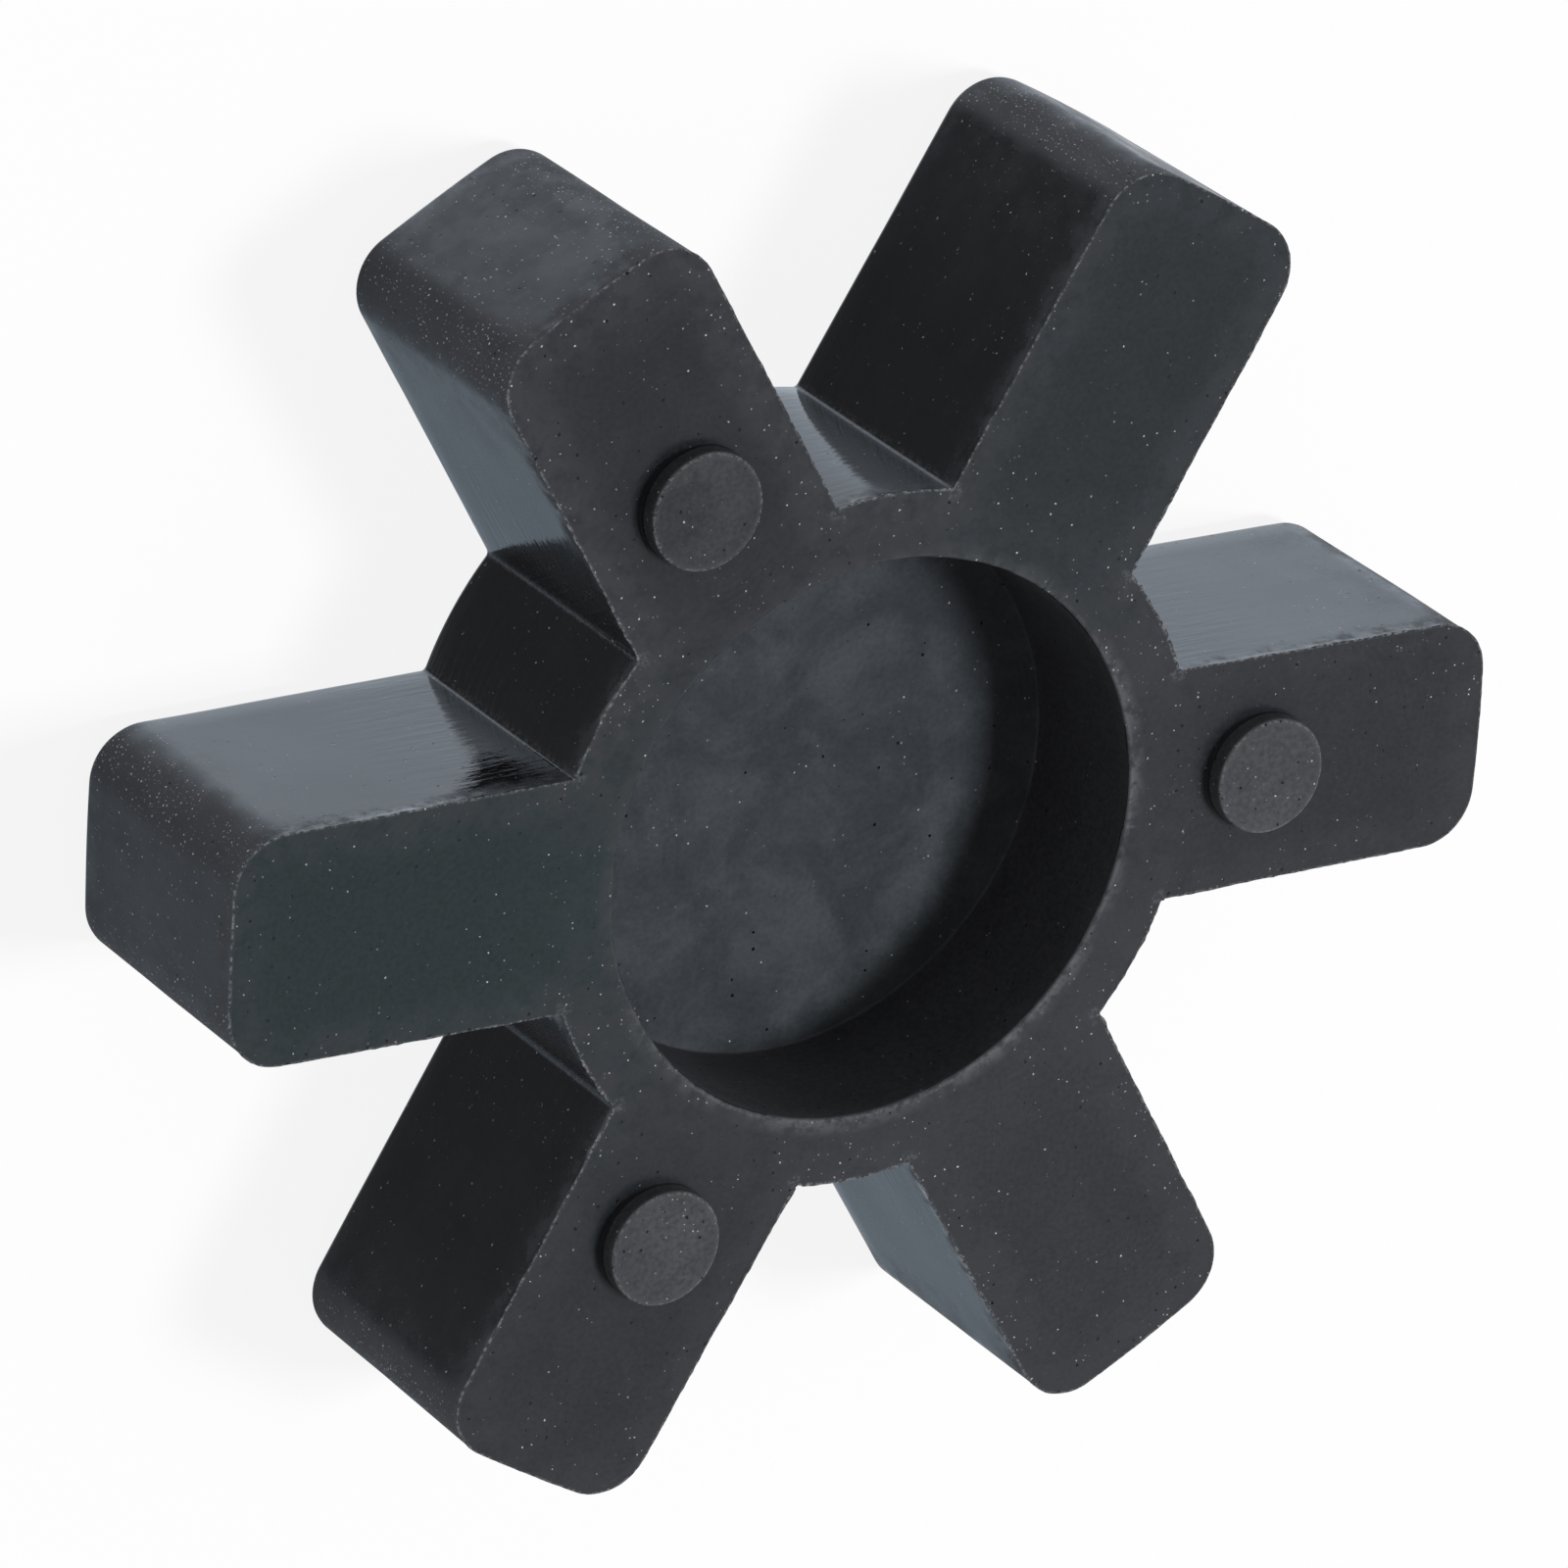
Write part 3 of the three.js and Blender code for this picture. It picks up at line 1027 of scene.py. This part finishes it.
def flank_rubber():
    """Shiny where the mould was smooth, with streaks along the legs and dull dusty ends."""
    return rubber(
        "rubber_flank",
        base=(0.006, 0.0062, 0.0075, 1),
        pale=(0.025, 0.0255, 0.029, 1),
        roughness=0.05,
        mottle=0.3,
        dust=0.6,
        specks=0.05,
        spray=1.0,
        edge=0.7,
        end=0.42,
        corner=0.62,
        streaks=0.018,
        grain=0.4,
    )


def wall_rubber():
    return rubber(
        "rubber_pocket_wall",
        base=(0.054, 0.054, 0.06, 1),
        pale=(0.072, 0.072, 0.079, 1),
        roughness=0.5,
        specular=0.35,
        specks=0.03,
        lip=0.5,
    )


def floor_rubber():
    return rubber(
        "rubber_pocket_floor",
        base=(0.04, 0.045, 0.051, 1),
        pale=(0.07, 0.079, 0.088, 1),
        roughness=0.6,
        specular=0.15,
        patch=0.28,
        mottle=0.9,
        grit=0.2,
        specks=0.035,
        pits=0.12,
        turning=0.0025,
        grain=0.8,
    )


def nub_rubber():
    return rubber(
        "rubber_nub",
        base=(0.028, 0.029, 0.0325, 1),
        pale=(0.088, 0.091, 0.098, 1),
        roughness=0.6,
        mottle=0.3,
        dust=0.65,
        specks=0.12,
        pits=0.5,
        flash=0.8,
        grain=1.5,
    )


def rubber_materials():
    return {
        "face": face_rubber(),
        "flank": flank_rubber(),
        "wall": wall_rubber(),
        "floor": floor_rubber(),
        "nub": nub_rubber(),
    }


# Floor, light and camera


FLOOR_HALF_WIDTH = 1500.0
FLOOR_COLOUR = (0.9, 0.9, 0.9, 1)
FLOOR_WHITENESS = 0.88  # the rest keeps the object's shadow
WHITE = (1, 1, 1, 1)
LAMP_PLACE = (0.387, -0.0135, 0.922)  # metres
LAMP_SIZE = 0.2  # metres
LAMP_POWER = 8.0


def floor_material():
    """White to the camera, with a pale part of the object's shadow kept."""
    material = bpy.data.materials.new("floor")
    material.use_nodes = True
    graph = Graph(material.node_tree)
    lit = graph.add("ShaderNodeBsdfDiffuse", {"Color": FLOOR_COLOUR})
    white = graph.add("ShaderNodeEmission", {"Color": WHITE, "Strength": 1.0})
    seen = graph.add("ShaderNodeLightPath").outputs["Is Camera Ray"]
    share = graph.times(seen, FLOOR_WHITENESS)
    both = graph.add("ShaderNodeMixShader", {0: share, 1: lit.outputs[0], 2: white.outputs[0]})
    output = graph.add("ShaderNodeOutputMaterial")
    graph.put(output.inputs["Surface"], both.outputs[0])
    return material


def floor():
    half = FLOOR_HALF_WIDTH
    points = np.array([(-half, -half, 0), (half, -half, 0), (half, half, 0), (-half, half, 0)])
    plane = mesh_object("floor", points, [(0, 1, 2, 3)])
    plane.data.materials.append(floor_material())
    plane.visible_glossy = False


# What lights matt surfaces from all round, and what the gloss shows of the studio: its plain
# level, then lights by direction, the cosines where each begins and is full, and its level
STUDIO_FILL = (0.27, 0.27, 0.27, 1)
STUDIO_LEVEL = (0.57, 0.58, 0.62, 1)
STUDIO_LIGHTS = (
    ((0.42, 0.53, -0.74), 0.66, 0.92, (1.12, 1.25, 1.42, 1)),
    ((-0.2, -0.53, -0.82), 0.8, 0.93, (0.32, 0.385, 0.45, 1)),
    ((-0.65, 0.35, -0.67), 0.78, 0.95, (0.18, 0.185, 0.21, 1)),
    ((0.49, -0.4, -0.78), 0.955, 0.985, WHITE),
)


def studio_world():
    world = bpy.data.worlds.new("studio")
    bpy.context.scene.world = world
    world.use_nodes = True
    graph = Graph(world.node_tree)
    direction = graph.add("ShaderNodeTexCoord").outputs["Generated"]
    shown = STUDIO_LEVEL
    for aim, begin, full, level in STUDIO_LIGHTS:
        aim = Vector(aim).normalized()
        facing = graph.add("ShaderNodeVectorMath", {0: direction, 1: aim}, operation="DOT_PRODUCT")
        shown = graph.blend(graph.step(facing.outputs["Value"], begin, full), shown, level)
    path = graph.add("ShaderNodeLightPath")
    shown = graph.blend(path.outputs["Is Glossy Ray"], STUDIO_FILL, shown)
    shown = graph.blend(path.outputs["Is Camera Ray"], shown, WHITE)
    background = graph.add("ShaderNodeBackground", {"Color": shown, "Strength": 1.0})
    output = graph.add("ShaderNodeOutputWorld")
    graph.put(output.inputs["Surface"], background.outputs[0])


def soft_lamp():
    light = bpy.data.lights.new("softbox", "AREA")
    light.shape = "SQUARE"
    light.size = LAMP_SIZE
    light.energy = LAMP_POWER
    lamp = bpy.data.objects.new("softbox", light)
    bpy.context.scene.collection.objects.link(lamp)
    lamp.location = LAMP_PLACE
    lamp.rotation_euler = (-lamp.location).to_track_quat("-Z", "Y").to_euler()
    lamp.visible_glossy = False


def photo_camera():
    azimuth = math.radians(CAMERA_AZIMUTH)
    elevation = math.radians(CAMERA_ELEVATION)
    roll = math.radians(CAMERA_ROLL)
    level = Vector((math.cos(azimuth), math.sin(azimuth), 0))
    top = Vector((0, 0, 1))
    back = level * math.cos(elevation) + top * math.sin(elevation)
    level_up = top * math.cos(elevation) - level * math.sin(elevation)
    up = level_up * math.cos(roll) + level_up.cross(back) * math.sin(roll)
    right = up.cross(back)
    camera = bpy.data.objects.new("camera", bpy.data.cameras.new("camera"))
    bpy.context.scene.collection.objects.link(camera)
    camera.data.lens = CAMERA_LENS
    camera.data.sensor_width = SENSOR_WIDTH
    camera.data.clip_start = CLIP_START
    camera.data.clip_end = CLIP_END
    turn = Matrix((right, up, back)).transposed().to_4x4()
    spot = (Vector(CAMERA_AIM) + back * CAMERA_DISTANCE) * MM
    camera.matrix_world = Matrix.Translation(spot) @ turn
    bpy.context.scene.camera = camera


def spider():
    piece = joined(body(), nubs(), "spider_rubber")
    set_zones(piece, rubber_materials())
    set_surface_values(piece)
    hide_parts("spider")
    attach(piece, "root")


photo_camera()
studio_world()
soft_lamp()
floor()
spider()
bpy.context.scene.view_settings.view_transform = "Standard"
